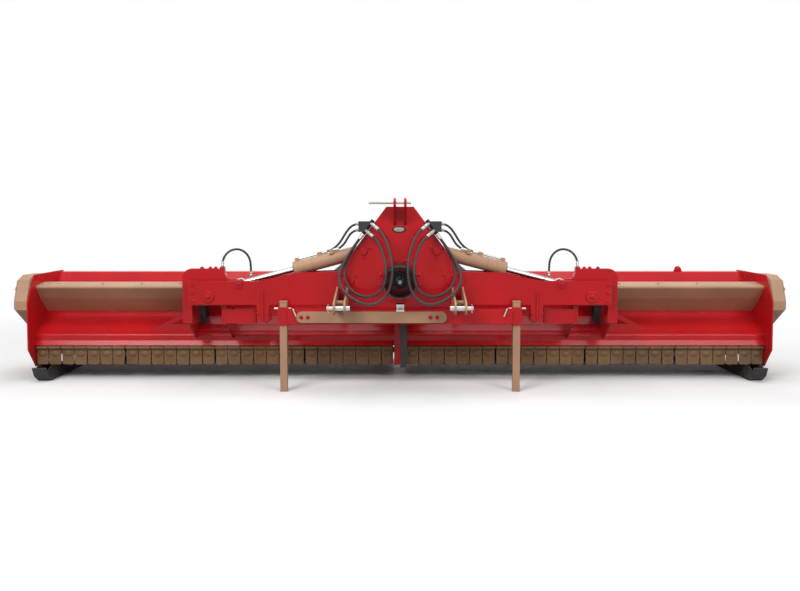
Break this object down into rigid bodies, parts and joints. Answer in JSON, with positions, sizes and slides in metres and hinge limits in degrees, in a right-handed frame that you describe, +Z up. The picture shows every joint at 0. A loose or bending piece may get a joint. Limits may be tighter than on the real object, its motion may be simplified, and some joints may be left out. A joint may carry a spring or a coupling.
{
  "type": "folding field mulcher",
  "caption": "Folding field mulcher with side wings that fold up on arms, a three-point headstock with parking stands, hammer rotors under red hoods and rear rollers.",
  "frame": {"origin": "middle of the bounding box at ground level", "axes": "X across the machine, +Y from the tractor to the rear, +Z up"},
  "size_m": [5.8, 1.6347, 1.38],
  "materials": {
    "red_paint": "gloss",
    "tan_paint": "satin",
    "black_paint": "satin",
    "zinc_steel": "zinc plated",
    "chrome_rod": "polished",
    "hose_rubber": "matte",
    "black_plastic": "moulded",
    "worn_steel": "worn",
    "gearbox_paint": "satin"
  },
  "bodies": {
    "headstock": {"center_gearbox": "gearbox_paint", "cross_tube": "red_paint", "feed_hose_far_left": "hose_rubber", "feed_hose_far_right": "hose_rubber", "feed_hose_near_left": "hose_rubber", "feed_hose_near_right": "hose_rubber", "frame_pins": "zinc_steel", "headstock_front_plate": "red_paint", "headstock_rear_frame": "red_paint", "hitch_brackets": "tan_paint", "hitch_spacers": "tan_paint", "hose_couplers": "zinc_steel", "hose_holders": "black_plastic", "lower_link_pins": "zinc_steel", "pto_ring": "red_paint", "pto_shield": "black_plastic", "stand_pins": "zinc_steel", "top_link_ears": "red_paint", "top_link_pin": "zinc_steel", "tractor_hose_inner_left": "hose_rubber", "tractor_hose_inner_right": "hose_rubber", "tractor_hose_outer_left": "hose_rubber", "tractor_hose_outer_right": "hose_rubber", "transport_tie_bar": "tan_paint"},
    "pto": {"pto_stub_shaft": "worn_steel"},
    "stand_left": {"stand_leg_left": "tan_paint"},
    "arm_left": {"arm_left": "red_paint", "float_pin_left": "zinc_steel", "drive_shaft_left": "black_plastic", "wing_hose_left": "hose_rubber"},
    "barrel_left": {"cylinder_barrel_left": "tan_paint"},
    "rod_left": {"cylinder_rod_left": "chrome_rod"},
    "wing_left": {"hood_left": "red_paint", "side_plates_left": "red_paint", "wing_bracket_left": "red_paint", "wing_gearbox_left": "gearbox_paint", "belt_cover_left": "tan_paint", "shaft_cover_left": "tan_paint", "front_flaps_left": "tan_paint", "skid_left": "black_paint"},
    "rotor_left": {"rotor_left": "worn_steel"},
    "roller_left": {"roller_left": "black_paint"},
    "stand_right": {"stand_leg_right": "tan_paint"},
    "arm_right": {"arm_right": "red_paint", "float_pin_right": "zinc_steel", "drive_shaft_right": "black_plastic", "wing_hose_right": "hose_rubber"},
    "barrel_right": {"cylinder_barrel_right": "tan_paint"},
    "rod_right": {"cylinder_rod_right": "chrome_rod"},
    "wing_right": {"hood_right": "red_paint", "side_plates_right": "red_paint", "wing_bracket_right": "red_paint", "wing_gearbox_right": "gearbox_paint", "belt_cover_right": "tan_paint", "shaft_cover_right": "tan_paint", "front_flaps_right": "tan_paint", "skid_right": "black_paint"},
    "rotor_right": {"rotor_right": "worn_steel"},
    "roller_right": {"roller_right": "black_paint"}
  },
  "joints": [
    {"name": "pto_spin", "type": "hinge", "parent": "headstock", "child": "pto", "pos_m": [0, -0.4425, 0.795], "axis": [0, 1, 0], "continuous": true},
    {"name": "fold_left", "type": "hinge", "parent": "headstock", "child": "arm_left", "pos_m": [-0.369, -0.3425, 0.795], "axis": [0, 1, 0], "range_deg": [0, 90]},
    {"name": "float_left", "type": "hinge", "parent": "arm_left", "child": "wing_left", "pos_m": [-1.385, -0.3425, 0.67], "axis": [0, 1, 0], "range_deg": [-3, 3], "deforming": ["wing_hose_left"]},
    {"name": "cylinder_pivot_left", "type": "hinge", "parent": "headstock", "child": "barrel_left", "pos_m": [-0.262, -0.3425, 1], "axis": [0, 1, 0], "range_deg": [-0.1, 91.64], "deforming": ["feed_hose_far_left", "feed_hose_near_left"]},
    {"name": "cylinder_stroke_left", "type": "slide", "parent": "barrel_left", "child": "rod_left", "axis": [0.967, 0, 0.2549], "range_m": [-0.0005, 0.3275]},
    {"name": "stand_lift_left", "type": "slide", "parent": "headstock", "child": "stand_left", "axis": [0, 0, 1], "range_m": [0, 0.3]},
    {"name": "rotor_spin_left", "type": "hinge", "parent": "wing_left", "child": "rotor_left", "pos_m": [-1.4, 0.3625, 0.3], "axis": [1, 0, 0], "continuous": true},
    {"name": "roller_spin_left", "type": "hinge", "parent": "wing_left", "child": "roller_left", "pos_m": [-1.4, 0.7325, 0.085], "axis": [1, 0, 0], "continuous": true},
    {"name": "fold_right", "type": "hinge", "parent": "headstock", "child": "arm_right", "pos_m": [0.369, -0.3425, 0.795], "axis": [0, -1, 0], "range_deg": [0, 90]},
    {"name": "float_right", "type": "hinge", "parent": "arm_right", "child": "wing_right", "pos_m": [1.385, -0.3425, 0.67], "axis": [0, -1, 0], "range_deg": [-3, 3], "deforming": ["wing_hose_right"]},
    {"name": "cylinder_pivot_right", "type": "hinge", "parent": "headstock", "child": "barrel_right", "pos_m": [0.262, -0.3425, 1], "axis": [0, -1, 0], "range_deg": [-0.1, 91.64], "deforming": ["feed_hose_far_right", "feed_hose_near_right"]},
    {"name": "cylinder_stroke_right", "type": "slide", "parent": "barrel_right", "child": "rod_right", "axis": [-0.967, 0, 0.2549], "range_m": [-0.0005, 0.3275]},
    {"name": "stand_lift_right", "type": "slide", "parent": "headstock", "child": "stand_right", "axis": [0, 0, 1], "range_m": [0, 0.3]},
    {"name": "rotor_spin_right", "type": "hinge", "parent": "wing_right", "child": "rotor_right", "pos_m": [1.4, 0.3625, 0.3], "axis": [1, 0, 0], "continuous": true},
    {"name": "roller_spin_right", "type": "hinge", "parent": "wing_right", "child": "roller_right", "pos_m": [1.4, 0.7325, 0.085], "axis": [1, 0, 0], "continuous": true}
  ],
  "couplings": [
    {"joint": "cylinder_pivot_left", "follows": "fold_left", "ratio": 1.016},
    {"joint": "cylinder_stroke_left", "follows": "fold_left", "m_per_rad": 0.20785},
    {"joint": "cylinder_pivot_right", "follows": "fold_right", "ratio": 1.016},
    {"joint": "cylinder_stroke_right", "follows": "fold_right", "m_per_rad": 0.20785}
  ]
}
